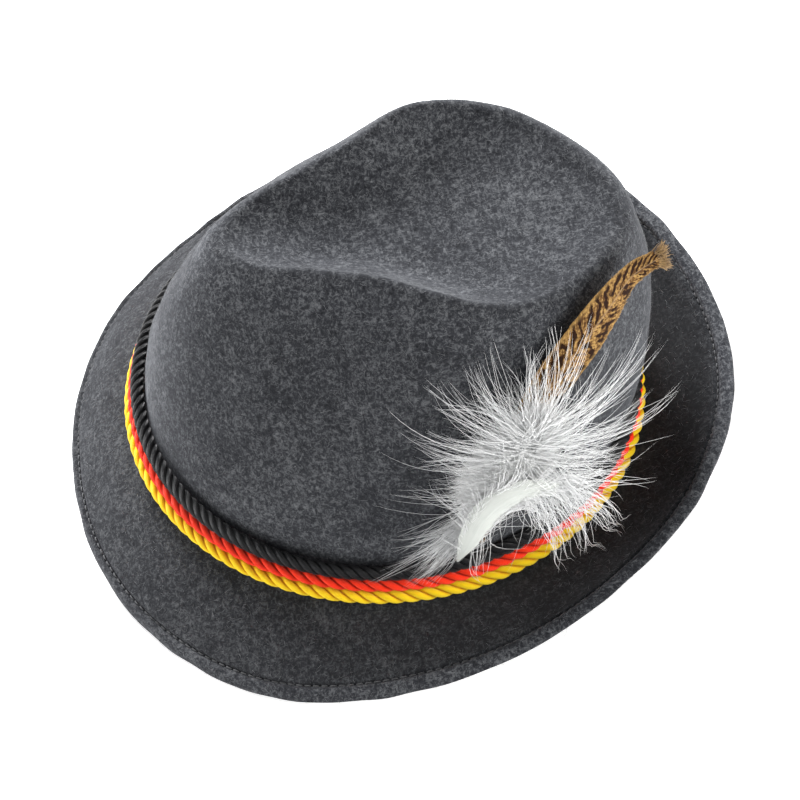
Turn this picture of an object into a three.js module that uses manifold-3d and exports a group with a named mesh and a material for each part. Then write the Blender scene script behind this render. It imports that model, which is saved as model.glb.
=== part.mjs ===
// Tyrolean hat at life size, in millimetres. +Z is up, the front faces -Y and the
// wearer's left is +X. It lies on a flat surface by itself, on the dipped front of
// the brim and on the root of the turned-up back.
import * as THREE from 'three';
import { mergeVertices } from 'three/addons/utils/BufferGeometryUtils.js';
import Module from 'manifold-3d';

// Felt body
const baseHalfLength = 97.5;
const baseHalfWidth = 93.5;
const crownHeight = 114;
const crownLean = 17;
const dishHeight = 98;
const feltThickness = 2.4;
const brimWidth = 42;
const bendReach = 4.5;
const weltWidth = 6;
const weltRise = 0.8;
const pressDepth = 0.8;
const clearance = 0.35;

// Cords round the foot of the crown
const cordRadius = 2.85;
const yellowStand = 0.4;
const yellowLift = 1.6;
const redTuck = 1.7;
const blackTuck = 1;
const waistSpread = 8;
const wallPlumbTo = 38;

// Plume on the wearer's left
const plumeStand = 10;
const bladeThickness = 0.9;
const featherHalfWidth = 10.5;
const vaneHalfWidth = 5.2;
const heartHalfWidth = 18;
const heartHalfThick = 6.5;
const lockHalfWidth = 6;
const lockHalfThick = 1.6;
const lockArch = 4;
const lockTaper = 0.8;

// Mesh steps
const turnSteps = 60;
const bladeSteps = 16;
const heartSteps = 7;
const lockSteps = 3;
const sectionSides = 8;
const thinSides = 6;
const brimSumSteps = 12;

// Where the felt's rings lie: steps of the crown's section from the dish to its foot,
// shares of the bend, and shares of the flat of the brim up to the welt.
const crownSteps = [
  10.6, 9.9, 9.2, 8.4, 7.6, 6.9, 6.3, 5.7, 5.1, 4.5, 3.7, 2.9, 2.1, 1.4, 1.1, 0.85, 0.6, 0.42, 0.24,
];
const bendShares = [0.35, 0.7];
const brimShares = [0, 0.3, 0.6, 0.88];
const weltCrest = 0.6;

// Crown, a row for each 30 degrees from the front to the back, alike on both sides.
// ridge is a share of the base oval, high of crownHeight, bulge shapes the wall.
const crownRows = [
  { ridge: 0.78, high: 0.91, bulge: 2.5 },
  { ridge: 0.52, high: 0.97, bulge: 2.0 },
  { ridge: 0.43, high: 1.01, bulge: 1.6 },
  { ridge: 0.5, high: 1.02, bulge: 1.7 },
  { ridge: 0.615, high: 0.965, bulge: 1.95 },
  { ridge: 0.7, high: 0.93, bulge: 2.3 },
  { ridge: 0.79, high: 0.9, bulge: 3.0 },
];

// Brim at the same stations. width is a share of brimWidth, the slopes are degrees
// up from level where the brim leaves the bend and at its edge.
const brimRows = [
  { width: 0.98, slopeIn: -25, slopeOut: -52 },
  { width: 1.04, slopeIn: -22, slopeOut: -50 },
  { width: 1.05, slopeIn: -19, slopeOut: -37 },
  { width: 0.95, slopeIn: 0, slopeOut: 0 },
  { width: 1.0, slopeIn: 12.5, slopeOut: 36 },
  { width: 1.0, slopeIn: 13, slopeOut: 39 },
  { width: 1.0, slopeIn: 11, slopeOut: 30 },
];

// Shares of the wall height at which the wall's shape is worked out.
const wallShares = [0, 0.25, 0.5, 0.7, 0.86, 0.96];

// Dished top: reach is a share of the ridge's radius, rise of the ridge over the dish.
const dishRows = [
  { reach: 0.955, rise: 1 },
  { reach: 0.86, rise: 0.8 },
  { reach: 0.7, rise: 0.45 },
  { reach: 0.5, rise: 0.14 },
  { reach: 0.28, rise: 0.02 },
  { reach: 0, rise: 0 },
];

// Barred feather from its quill at the black cord up to its curled tip. Places on the
// crown are an angle from the front, up as a share of crownHeight, and off the felt as a
// share of plumeStand.
const featherRows = [
  { angle: 105, up: 0.202, off: 0.16, half: 0.09 },
  { angle: 107.5, up: 0.368, off: 0.18, half: 0.11 },
  { angle: 111, up: 0.544, off: 0.25, half: 0.32 },
  { angle: 117.5, up: 0.688, off: 0.35, half: 0.72 },
  { angle: 125.5, up: 0.765, off: 0.45, half: 0.95 },
  { angle: 134.8, up: 0.821, off: 0.55, half: 1 },
  { angle: 144.2, up: 0.862, off: 0.7, half: 0.86 },
  { angle: 153, up: 0.886, off: 0.9, half: 0.56 },
  { angle: 159.5, up: 0.886, off: 1.25, half: 0.4 },
  { angle: 163, up: 0.873, off: 1.6, half: 0.42 },
];

// Plain white vane from its pointed tip over the black cord round into the fluff.
const vaneRows = [
  { angle: 98.3, up: 0.215, off: 0.75, half: 0.12 },
  { angle: 99, up: 0.289, off: 1, half: 0.7 },
  { angle: 100.4, up: 0.377, off: 1.25, half: 0.95 },
  { angle: 103, up: 0.447, off: 1.45, half: 1 },
  { angle: 107, up: 0.487, off: 1.6, half: 1 },
  { angle: 112, up: 0.491, off: 1.7, half: 1 },
  { angle: 117, up: 0.456, off: 1.7, half: 0.9 },
  { angle: 121.5, up: 0.382, off: 1.6, half: 0.55 },
];

// Heart of the fluff; full is a share of its half width and half thickness.
const heartRows = [
  { angle: 103, up: 0.298, off: 0.5, full: 0.35 },
  { angle: 106.5, up: 0.395, off: 0.76, full: 0.85 },
  { angle: 110, up: 0.5, off: 0.78, full: 1 },
  { angle: 113.5, up: 0.596, off: 0.78, full: 1 },
  { angle: 118, up: 0.675, off: 0.74, full: 0.85 },
  { angle: 123, up: 0.737, off: 0.7, full: 0.4 },
];

// Locks of the fluff, clockwise from its lower front. from is a share of the heart.
const lockRows = [
  { from: 0.1, angle: 86, up: 0.289, off: 0.6 },
  { from: 0.3, angle: 87, up: 0.439, off: 0.6 },
  { from: 0.5, angle: 90, up: 0.561, off: 0.6 },
  { from: 0.6, angle: 90, up: 0.684, off: 0.6 },
  { from: 0.75, angle: 95, up: 0.772, off: 0.6 },
  { from: 0.85, angle: 103, up: 0.842, off: 0.6 },
  { from: 0.9, angle: 112, up: 0.868, off: 0.7 },
  { from: 0.95, angle: 123, up: 0.86, off: 1 },
  { from: 0.95, angle: 133, up: 0.798, off: 1.1 },
  { from: 0.9, angle: 139, up: 0.711, off: 1.2 },
  { from: 0.8, angle: 141, up: 0.614, off: 1.4 },
  { from: 0.7, angle: 142, up: 0.509, off: 1.6 },
  { from: 0.5, angle: 141, up: 0.404, off: 1.7 },
  { from: 0.4, angle: 138, up: 0.316, off: 1.7 },
  { from: 0.3, angle: 135, up: 0.228, off: 1.6 },
  { from: 0.25, angle: 129, up: 0.167, off: 1.5 },
  { from: 0.2, angle: 121, up: 0.14, off: 1.4 },
  { from: 0.15, angle: 113, up: 0.132, off: 1.3 },
  { from: 0.1, angle: 105, up: 0.14, off: 1.2 },
  { from: 0.05, angle: 93, up: 0.202, off: 0.9 },
];

// Where the cords lie in a section through the foot of the crown: out from the base
// oval, and up. Each lies against the one below it, and black is drawn into the felt.
const yellowPlace = { out: cordRadius + yellowStand, up: cordRadius + yellowLift };
const redPlace = above(yellowPlace, redTuck);
const blackPlace = above(redPlace, blackTuck);
const waistDepth = cordRadius + clearance - blackPlace.out;

function above(place, tuck) {
  const apart = 2 * cordRadius + clearance;
  return { out: place.out - tuck, up: place.up + Math.sqrt(apart ** 2 - tuck ** 2) };
}

// A column of a table as a smooth function of the turn round the hat.
function roundTheHat(rows, column) {
  const half = rows.map((row) => row[column]);
  const whole = [...half, ...half.slice(1, -1).reverse()];
  const points = whole.map((value) => new THREE.Vector3(value, 0, 0));
  const curve = new THREE.CatmullRomCurve3(points, true, 'catmullrom', 0.5);
  return (turn) => curve.getPoint(((turn / (2 * Math.PI)) % 1 + 1) % 1).x;
}

const ridgeAt = roundTheHat(crownRows, 'ridge');
const highAt = roundTheHat(crownRows, 'high');
const bulgeAt = roundTheHat(crownRows, 'bulge');
const widthAt = roundTheHat(brimRows, 'width');
const slopeInAt = roundTheHat(brimRows, 'slopeIn');
const slopeOutAt = roundTheHat(brimRows, 'slopeOut');

// The crown's section at one turn: x is a share of the base oval and y a height.
function crownSection(turn) {
  const ridge = ridgeAt(turn);
  const top = highAt(turn) * crownHeight;
  const wall = wallShares.map(
    (share) => new THREE.Vector3(1 - (1 - ridge) * share ** bulgeAt(turn), top * share, 0),
  );
  const dish = dishRows.map(
    (row) => new THREE.Vector3(ridge * row.reach, dishHeight + (top - dishHeight) * row.rise, 0),
  );
  return new THREE.CatmullRomCurve3([...wall, ...dish], false, 'catmullrom', 0.5);
}

// The wall starts plumb behind the cords, and is drawn in where the black cord lies.
function leanAt(height) {
  const share = Math.min(height / crownHeight, 1);
  return crownLean * share * THREE.MathUtils.smoothstep(height, 0, wallPlumbTo);
}

function crownPoint(turn, section, share) {
  const { x, y: height } = section.getPoint(share);
  const reach = 1 - (1 - x) * THREE.MathUtils.smoothstep(height, 0, wallPlumbTo);
  const nip = waistDepth * Math.exp(-(((height - blackPlace.up) / waistSpread) ** 2) / 2);
  const long = (baseHalfLength - nip) * reach;
  const wide = (baseHalfWidth - nip) * reach;
  return new THREE.Vector3(wide * Math.sin(turn), leanAt(height) - long * Math.cos(turn), height);
}

// A point out from the base oval along its normal.
function baseNormal(turn) {
  return new THREE.Vector3(
    baseHalfLength * Math.sin(turn), -baseHalfWidth * Math.cos(turn), 0,
  ).normalize();
}

function besideBase(turn, out, up) {
  const foot = new THREE.Vector3(baseHalfWidth * Math.sin(turn), -baseHalfLength * Math.cos(turn), up);
  return foot.addScaledVector(baseNormal(turn), out);
}

// The brim's slope changes evenly from the bend to the edge, so its section is a curve
// that is added up in small steps.
function brimPoint(turn, along) {
  const from = THREE.MathUtils.degToRad(slopeInAt(turn));
  const to = THREE.MathUtils.degToRad(slopeOutAt(turn));
  const whole = widthAt(turn) * brimWidth;
  let out = 0;
  let up = 0;
  for (let i = 0; i < brimSumSteps; i += 1) {
    const slope = from + (to - from) * ((i + 0.5) / brimSumSteps) * (along / whole);
    out += (Math.cos(slope) * along) / brimSumSteps;
    up += (Math.sin(slope) * along) / brimSumSteps;
  }
  return besideBase(turn, out, up);
}

// Rings of the felt's upper face from the centre of the dish to the brim's edge. A ring
// has a point for each turn step, and lift is how far the welt stands on it.
function upperRings() {
  const spans = wallShares.length + dishRows.length - 1;
  const turns = Array.from({ length: turnSteps }, (_, i) => (2 * Math.PI * i) / turnSteps);
  const sections = turns.map(crownSection);
  const rings = crownSteps.map((step) => ({
    lift: 0,
    points: turns.map((turn, i) => crownPoint(turn, sections[i], step / spans)),
  }));
  const foot = rings[rings.length - 1].points;
  for (const share of bendShares) {
    const points = turns.map((turn, i) => {
      const bend = new THREE.QuadraticBezierCurve3(foot[i], besideBase(turn, 0, 0), brimPoint(turn, bendReach));
      return bend.getPoint(share);
    });
    rings.push({ lift: 0, points });
  }
  const weltAt = (turn) => widthAt(turn) * brimWidth - weltWidth;
  for (const share of brimShares) {
    const points = turns.map((turn) => brimPoint(turn, bendReach + (weltAt(turn) - bendReach) * share));
    rings.push({ lift: 0, points });
  }
  const weltRings = [
    { past: 0, lift: 0 },
    { past: weltRise, lift: weltRise },
    { past: weltWidth * weltCrest, lift: weltRise },
    { past: weltWidth, lift: 0 },
  ];
  for (const { past, lift } of weltRings) {
    rings.push({ lift, points: turns.map((turn) => brimPoint(turn, weltAt(turn) + past)) });
  }
  return rings;
}

// The outward normal at each point of a stack of rings, from its neighbours.
function ringNormals(rings) {
  return rings.map((ring, row) => ring.points.map((point, i) => {
    const inner = rings[Math.max(row - 1, 0)].points[i];
    const outer = rings[Math.min(row + 1, rings.length - 1)].points[i];
    const before = ring.points[(i + turnSteps - 1) % turnSteps];
    const after = ring.points[(i + 1) % turnSteps];
    const down = new THREE.Vector3().subVectors(outer, inner);
    return down.cross(new THREE.Vector3().subVectors(after, before)).normalize();
  }));
}

// The felt's two faces in the worn pose, as matching rings of points.
function feltFaces() {
  const rings = upperRings();
  const normals = ringNormals(rings);
  const upper = rings.map((ring, row) => ring.points.map(
    (point, i) => point.clone().addScaledVector(normals[row][i], ring.lift),
  ));
  const under = rings.map((ring, row) => ring.points.map(
    (point, i) => point.clone().addScaledVector(normals[row][i], -feltThickness),
  ));
  const centreUp = new THREE.Vector3(0, leanAt(dishHeight), dishHeight);
  const centreUnder = centreUp.clone().setZ(dishHeight - feltThickness);
  return { upper, under, centreUp, centreUnder };
}

// Resting pose: tipped back until the lowest points of the front and of the back of
// the underside touch down together, then let down by pressDepth.
function findRest(under) {
  const points = under.flat();
  const front = points.filter((point) => point.y < 0);
  const back = points.filter((point) => point.y >= 0);
  const lowest = (side, tilt) => side.reduce(
    (low, point) => Math.min(low, point.z * Math.cos(tilt) - point.y * Math.sin(tilt)), Infinity,
  );
  let low = -0.4;
  let high = 0.4;
  for (let i = 0; i < 40; i += 1) {
    const middle = (low + high) / 2;
    if (lowest(front, middle) < lowest(back, middle)) {
      low = middle;
    } else {
      high = middle;
    }
  }
  const lift = -lowest(back, high) - pressDepth;
  return new THREE.Matrix4().makeTranslation(0, 0, lift)
    .multiply(new THREE.Matrix4().makeRotationX(-high));
}

// Where the underside would sink into the surface, both faces are pressed up flat.
function pressFlat(faces) {
  faces.under.forEach((ring, row) => ring.forEach((point, i) => {
    const rise = Math.max(0, -point.z);
    point.z += rise;
    faces.upper[row][i].z += rise;
  }));
}

// A closed skin over a stack of rings with a single point at each end, or with its last
// ring joined to its first. It is turned inside out if its volume comes out negative.
function skin(rings, ends) {
  const count = rings[0].length;
  const points = rings.flat();
  const index = [];
  const rows = ends ? rings.length - 1 : rings.length;
  for (let row = 0; row < rows; row += 1) {
    for (let i = 0; i < count; i += 1) {
      const a = row * count + i;
      const b = row * count + ((i + 1) % count);
      const c = ((row + 1) % rings.length) * count + ((i + 1) % count);
      const d = ((row + 1) % rings.length) * count + i;
      index.push(a, b, c, a, c, d);
    }
  }
  if (ends) {
    const first = points.length;
    points.push(ends[0], ends[1]);
    const lastRow = (rings.length - 1) * count;
    for (let i = 0; i < count; i += 1) {
      const next = (i + 1) % count;
      index.push(first, next, i);
      index.push(first + 1, lastRow + i, lastRow + next);
    }
  }
  if (volumeOf(points, index) < 0) {
    index.reverse();
  }
  const geometry = new THREE.BufferGeometry().setFromPoints(points);
  geometry.setIndex(index);
  return geometry;
}

function volumeOf(points, index) {
  let six = 0;
  for (let i = 0; i < index.length; i += 3) {
    const [a, b, c] = [points[index[i]], points[index[i + 1]], points[index[i + 2]]];
    six += a.dot(new THREE.Vector3().crossVectors(b, c));
  }
  return six;
}

// A cord: a closed ring of round sections beside the base oval, set back as the wall is.
function cordRing(place, sides) {
  const rings = [];
  for (let i = 0; i < turnSteps; i += 1) {
    const turn = (2 * Math.PI * i) / turnSteps;
    const ring = [];
    for (let side = 0; side < sides; side += 1) {
      const angle = (2 * Math.PI * side) / sides;
      const out = place.out + cordRadius * Math.cos(angle);
      const point = besideBase(turn, out, place.up + cordRadius * Math.sin(angle));
      point.y += leanAt(place.up);
      ring.push(point);
    }
    rings.push(ring);
  }
  return skin(rings);
}

// A place on the crown's wall, with the felt's outward normal there.
function onWall(row) {
  const turn = THREE.MathUtils.degToRad(row.angle);
  const spans = wallShares.length + dishRows.length - 1;
  const wallEnd = (wallShares.length - 1) / spans;
  const at = (angle, share) => crownPoint(angle, crownSection(angle), share);
  let low = 0;
  let high = wallEnd;
  for (let i = 0; i < 30; i += 1) {
    const middle = (low + high) / 2;
    if (at(turn, middle).z < row.up * crownHeight) {
      low = middle;
    } else {
      high = middle;
    }
  }
  const point = at(turn, low);
  const round = at(turn + 0.01, low).sub(at(turn - 0.01, low));
  const up = at(turn, Math.min(low + 0.01, wallEnd)).sub(at(turn, Math.max(low - 0.01, 0)));
  const normal = round.cross(up).normalize();
  return { normal, point: point.addScaledVector(normal, row.off * plumeStand) };
}

// A smooth path through places on the crown, with a normal for each of its points.
function crownPath(rows) {
  const places = rows.map(onWall);
  const line = new THREE.CatmullRomCurve3(places.map((place) => place.point), false, 'catmullrom', 0.5);
  const lean = new THREE.CatmullRomCurve3(places.map((place) => place.normal), false, 'catmullrom', 0.5);
  return { line, lean };
}

// A value of a table's column part of the way along its rows.
function along(rows, column, share) {
  const place = share * (rows.length - 1);
  const row = Math.min(Math.floor(place), rows.length - 2);
  return THREE.MathUtils.lerp(rows[row][column], rows[row + 1][column], place - row);
}

// A body of oval sections carried along a path over the crown.
function sweep(rows, steps, sides, sizeAt) {
  const { line, lean } = crownPath(rows);
  const rings = [];
  for (let i = 0; i <= steps; i += 1) {
    const share = i / steps;
    const middle = line.getPoint(share);
    const tangent = line.getTangent(share);
    const side = new THREE.Vector3().crossVectors(tangent, lean.getPoint(share)).normalize();
    const up = new THREE.Vector3().crossVectors(side, tangent).normalize();
    const size = sizeAt(share);
    const ring = [];
    for (let k = 0; k < sides; k += 1) {
      const angle = (2 * Math.PI * k) / sides;
      ring.push(middle.clone()
        .addScaledVector(side, size.wide * Math.cos(angle))
        .addScaledVector(up, size.thick * Math.sin(angle)));
    }
    rings.push(ring);
  }
  return skin(rings, [line.getPoint(0), line.getPoint(1)]);
}

// A flat feather blade; grow makes the room that its neighbour leaves for it.
function blade(rows, halfWidth, grow) {
  return sweep(rows, bladeSteps, sectionSides, (share) => ({
    wide: halfWidth * along(rows, 'half', share) + grow,
    thick: bladeThickness / 2 + grow,
  }));
}

// A lock of fluff from the heart out to its own tip, arched off the crown.
function lock(row) {
  const start = {};
  for (const column of ['angle', 'up', 'off']) {
    start[column] = along(heartRows, column, row.from);
  }
  const rows = [0, 0.25, 0.5, 0.75, 1].map((share) => ({
    angle: THREE.MathUtils.lerp(start.angle, row.angle, share),
    up: THREE.MathUtils.lerp(start.up, row.up, share),
    off: THREE.MathUtils.lerp(start.off, row.off, share)
      + (lockArch / plumeStand) * Math.sin(Math.PI * share),
  }));
  return sweep(rows, lockSteps, thinSides, (share) => ({
    wide: lockHalfWidth * (1 - lockTaper * share),
    thick: lockHalfThick * (1 - lockTaper * share),
  }));
}

const wasm = await Module();
wasm.setup();

function toSolid(geometry) {
  const bare = geometry.clone();
  bare.deleteAttribute('normal');
  bare.deleteAttribute('uv');
  const merged = mergeVertices(bare);
  return new wasm.Manifold(new wasm.Mesh({
    numProp: 3,
    vertProperties: new Float32Array(merged.attributes.position.array),
    triVerts: new Uint32Array(merged.index.array),
  }));
}

function toGeometry(solid) {
  const mesh = solid.getMesh();
  const geometry = new THREE.BufferGeometry();
  geometry.setAttribute('position', new THREE.BufferAttribute(new Float32Array(mesh.vertProperties), 3));
  geometry.setIndex(new THREE.BufferAttribute(new Uint32Array(mesh.triVerts), 1));
  return geometry;
}

// The fluff: its heart and locks as one body, with room for the two feathers.
function fluff() {
  let body = toSolid(sweep(heartRows, heartSteps, sectionSides, (share) => ({
    wide: heartHalfWidth * along(heartRows, 'full', share),
    thick: heartHalfThick * along(heartRows, 'full', share),
  })));
  for (const row of lockRows) {
    body = body.add(toSolid(lock(row)));
  }
  body = body.subtract(toSolid(blade(featherRows, featherHalfWidth, clearance)));
  body = body.subtract(toSolid(blade(vaneRows, vaneHalfWidth, clearance)));
  const pieces = body.decompose();
  return toGeometry(pieces.reduce((a, b) => (a.volume() > b.volume() ? a : b)));
}

function feltBody(faces) {
  const { upper, under, centreUp, centreUnder } = faces;
  return skin([...upper, ...[...under].reverse()], [centreUp, centreUnder]);
}

const felt = { color: 0x55565a, roughness: 0.95, metalness: 0 };
const blackCord = { color: 0x18181a, roughness: 0.45, metalness: 0 };
const redCord = { color: 0xe23a1c, roughness: 0.45, metalness: 0 };
const yellowCord = { color: 0xf3cc22, roughness: 0.45, metalness: 0 };
const whiteDown = { color: 0xeceae4, roughness: 0.8, metalness: 0 };
const brownFeather = { color: 0xb98a50, roughness: 0.7, metalness: 0 };

const faces = feltFaces();
const rest = findRest(faces.under);

function place(name, geometry, finish) {
  const mesh = new THREE.Mesh(geometry, new THREE.MeshStandardMaterial(finish));
  mesh.name = name;
  return mesh;
}

// Everything is shaped as worn, then moved into the resting pose.
for (const point of [...faces.upper.flat(), ...faces.under.flat(), faces.centreUp, faces.centreUnder]) {
  point.applyMatrix4(rest);
}
pressFlat(faces);
const outline = new THREE.Box3().setFromPoints(faces.upper.flat());
const middle = outline.getCenter(new THREE.Vector3());

const hat = new THREE.Group();
hat.position.set(-middle.x, -middle.y, 0);
hat.add(place('felt_body', feltBody(faces), felt));

const trimmings = [
  place('cord_black', cordRing(blackPlace, sectionSides), blackCord),
  place('cord_red', cordRing(redPlace, thinSides), redCord),
  place('cord_yellow', cordRing(yellowPlace, thinSides), yellowCord),
  place('barred_feather', blade(featherRows, featherHalfWidth, 0), brownFeather),
  place('white_vane', blade(vaneRows, vaneHalfWidth, 0), whiteDown),
  place('plume_fluff', fluff(), whiteDown),
];
for (const mesh of trimmings) {
  mesh.geometry.applyMatrix4(rest);
  hat.add(mesh);
}

export default hat;
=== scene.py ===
import math

import bpy
import numpy as np
from mathutils import Matrix, Vector


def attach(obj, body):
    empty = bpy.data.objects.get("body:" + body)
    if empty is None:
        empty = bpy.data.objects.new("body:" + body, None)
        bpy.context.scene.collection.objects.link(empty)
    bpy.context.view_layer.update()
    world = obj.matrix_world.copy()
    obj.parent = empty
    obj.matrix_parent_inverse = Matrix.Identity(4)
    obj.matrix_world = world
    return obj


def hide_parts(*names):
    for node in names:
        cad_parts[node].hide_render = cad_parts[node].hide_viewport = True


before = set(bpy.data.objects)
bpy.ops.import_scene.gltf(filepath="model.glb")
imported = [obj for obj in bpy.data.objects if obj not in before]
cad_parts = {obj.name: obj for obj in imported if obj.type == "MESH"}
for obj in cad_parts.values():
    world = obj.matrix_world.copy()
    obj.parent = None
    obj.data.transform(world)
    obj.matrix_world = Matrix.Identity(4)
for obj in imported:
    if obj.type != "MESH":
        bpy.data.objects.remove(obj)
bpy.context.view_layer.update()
print("hat frame loaded:", len(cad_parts), "solids")

# All shapes are worked out in millimetres in the pose the hat is worn in, then tipped
# back into the pose it rests in. Turns go from the hat's front by way of the wearer's left.
hatPose = {"tilt": 7.3014, "shift": (0.0, -2.910, 13.614)}
millimetre = 0.001
scene = bpy.context.scene


def unit(vectors):
    return vectors / np.linalg.norm(vectors, axis=-1, keepdims=True)


def addObject(name, data):
    thing = bpy.data.objects.new(name, data)
    scene.collection.objects.link(thing)
    return thing


def restMatrix():
    tip = math.radians(hatPose["tilt"])
    return np.array([[1, 0, 0], [0, math.cos(tip), math.sin(tip)], [0, -math.sin(tip), math.cos(tip)]])


def toRest(points):
    return points @ restMatrix().T + np.array(hatPose["shift"])


# Quads over a grid of points that closes in its columns, and in its rows too if it is a
# ring. The map runs 0 to 1 each way.
def gridFaces(rows, columns, ring, firstIndex=0):
    lastRow = rows if ring else rows - 1
    r, c = np.meshgrid(np.arange(lastRow), np.arange(columns), indexing="ij")
    r, c = r.ravel(), c.ravel()
    below, beside = (r + 1) % rows, (c + 1) % columns
    here, after = r * columns, below * columns
    faces = np.stack([here + c, here + beside, after + beside, after + c], 1)
    across = np.stack([c, c + 1, c + 1, c], 1) / columns
    along = np.stack([r, r, r + 1, r + 1], 1) / max(lastRow, 1)
    return faces + firstIndex, np.stack([across, along], 2)


# A closed mesh from its quads and triangles, with a place on the map for each corner. All
# faces are turned round if the volume inside them comes out negative.
def makePiece(name, points, faces, maps, paint, attributes=None):
    fan = np.concatenate([faces[0][:, [0, 1, 2]], faces[0][:, [0, 2, 3]], faces[1]])
    a, b, c = points[fan[:, 0]], points[fan[:, 1]], points[fan[:, 2]]
    if np.einsum("ij,ij->i", a, np.cross(b, c)).sum() <= 0:
        faces, maps = ([part[:, ::-1] for part in parts] for parts in (faces, maps))
    mesh = bpy.data.meshes.new(name)
    mesh.vertices.add(len(points))
    mesh.vertices.foreach_set("co", (points * millimetre).astype(np.float32).ravel())
    corners = np.concatenate([part.ravel() for part in faces]).astype(np.int32)
    sizes = np.repeat((4, 3), [len(part) for part in faces]).astype(np.int32)
    mesh.loops.add(len(corners))
    mesh.loops.foreach_set("vertex_index", corners)
    mesh.polygons.add(len(sizes))
    mesh.polygons.foreach_set("loop_start", (np.cumsum(sizes) - sizes).astype(np.int32))
    mesh.update(calc_edges=True)
    mesh.polygons.foreach_set("use_smooth", np.ones(len(sizes), bool))
    flat = np.concatenate([part.reshape(-1, 2) for part in maps]).astype(np.float32)
    mesh.uv_layers.new(name="surfaceMap").data.foreach_set("uv", flat.ravel())
    for key, values in (attributes or {}).items():
        attribute = mesh.attributes.new(key, "FLOAT", "POINT")
        attribute.data.foreach_set("value", np.asarray(values, np.float32).ravel())
    mesh.validate()
    mesh.materials.append(paint)
    return addObject(name, mesh)


# A closed skin over a grid of rings, with a point in the middle of either end.
def closedSkin(name, grid, paint, ends=None, attributes=None):
    rows, columns = grid.shape[:2]
    ends = np.array([grid[0].mean(0), grid[-1].mean(0)]) if ends is None else ends
    points = np.concatenate([grid.reshape(-1, 3), ends])
    quads, quadMap = gridFaces(rows, columns, False)
    c = np.arange(columns)
    first, lastRow = rows * columns, (rows - 1) * columns
    top = np.stack([np.full(columns, first), (c + 1) % columns, c], 1)
    bottom = np.stack([np.full(columns, first + 1), lastRow + c, lastRow + (c + 1) % columns], 1)
    left, half, right = c / columns, (c + 0.5) / columns, (c + 1) / columns
    level = np.zeros(columns)
    topMap = np.stack([np.stack([x, level], 1) for x in (half, right, left)], 1)
    bottomMap = np.stack([np.stack([x, level + 1], 1) for x in (half, left, right)], 1)
    triangles, triangleMap = np.concatenate([top, bottom]), np.concatenate([topMap, bottomMap])
    return makePiece(name, points, (quads, triangles), (quadMap, triangleMap), paint, attributes)


# Lays out a material's nodes: most methods add a node and return its output.
class NodePaper:
    def __init__(self, name):
        self.paint = bpy.data.materials.new(name)
        self.paint.use_nodes = True
        self.nodes = self.paint.node_tree.nodes
        self.links = self.paint.node_tree.links
        self.shader = self.nodes["Principled BSDF"]

    def plug(self, socket, value):
        if isinstance(value, bpy.types.NodeSocket):
            self.links.new(value, socket)
        else:
            socket.default_value = value

    def add(self, kind, inputs=None, output=0, **settings):
        node = self.nodes.new(kind)
        for key, value in settings.items():
            setattr(node, key, value)
        for key, value in (inputs or {}).items():
            self.plug(node.inputs[key], value)
        return node.outputs[output]

    def place(self):
        return self.add("ShaderNodeTexCoord", output="Object")

    def value(self, name):
        return self.add("ShaderNodeAttribute", output="Fac", attribute_name=name)

    def noise(self, place, scale, detail, rough=0.5, output="Fac"):
        looks = {"Vector": place, "Scale": scale, "Detail": detail, "Roughness": rough}
        return self.add("ShaderNodeTexNoise", looks, output)

    def calc(self, operation, a, b=0.0, c=0.0):
        return self.add("ShaderNodeMath", {0: a, 1: b, 2: c}, operation=operation)

    def times(self, a, b):
        return self.calc("MULTIPLY", a, b)

    def timesPlus(self, a, b, c):
        return self.calc("MULTIPLY_ADD", a, b, c)

    def minus(self, a, b):
        return self.calc("SUBTRACT", a, b)

    def ramp(self, value, stops, mode="LINEAR"):
        colour = self.add("ShaderNodeValToRGB", {"Fac": value}, "Color")
        scale = colour.node.color_ramp
        scale.interpolation = mode
        while len(scale.elements) < len(stops):
            scale.elements.new(0.5)
        for element, (at, shade) in zip(scale.elements, stops):
            element.position = at
            element.color = (*shade, 1)
        return colour

    def blend(self, share, a, b):
        return self.add("ShaderNodeMix", {0: share, 6: a, 7: b}, 2, data_type="RGBA")

    def bump(self, height, strength, distance):
        return self.add("ShaderNodeBump", {"Height": height, "Strength": strength, "Distance": distance})

    def wear(self, looks):
        for socket, value in looks.items():
            self.plug(self.shader.inputs[socket], value)
        return self.paint


# The camera and the light

studio = {
    "azimuth": 85.9, "elevation": 54.2, "roll": -2.64, "distance": 900.0, "focal": 2252.7,
    "middle": (384.7, 392.7), "picture": 800.0, "floorSize": 16.0, "floorColour": (0.93, 0.93, 0.93),
    "floorDrop": 0.0004, "skyStrength": 0.43, "floorGlow": 0.46, "sensor": 36.0, "aimHeight": 0.06,
    "seenFrom": 0.05, "seenTo": 20.0,
}


def addCamera():
    a = math.radians(studio["azimuth"])
    e = math.radians(studio["elevation"])
    r = math.radians(studio["roll"])
    back = np.array([math.sin(a) * math.cos(e), -math.cos(a) * math.cos(e), math.sin(e)])
    right = np.array([math.cos(a), math.sin(a), 0])
    up = np.cross(back, right)
    rolledRight = math.cos(r) * right + math.sin(r) * up
    rolledUp = -math.sin(r) * right + math.cos(r) * up
    turn = restMatrix()
    place = toRest(back * studio["distance"]) * millimetre
    lens = bpy.data.cameras.new("hatCamera")
    camera = addObject("hatCamera", lens)
    axes = (rolledRight, rolledUp, back)
    rows = [(*[float(axis @ turn[k]) for axis in axes], place[k]) for k in range(3)]
    camera.matrix_world = Matrix((*rows, (0, 0, 0, 1)))
    size, middle = studio["picture"], studio["middle"]
    lens.sensor_width = studio["sensor"]
    lens.lens = studio["sensor"] * studio["focal"] / size
    lens.shift_x = (size / 2 - middle[0]) / size
    lens.shift_y = (middle[1] - size / 2) / size
    lens.clip_start, lens.clip_end = studio["seenFrom"], studio["seenTo"]
    scene.camera = camera


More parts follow.
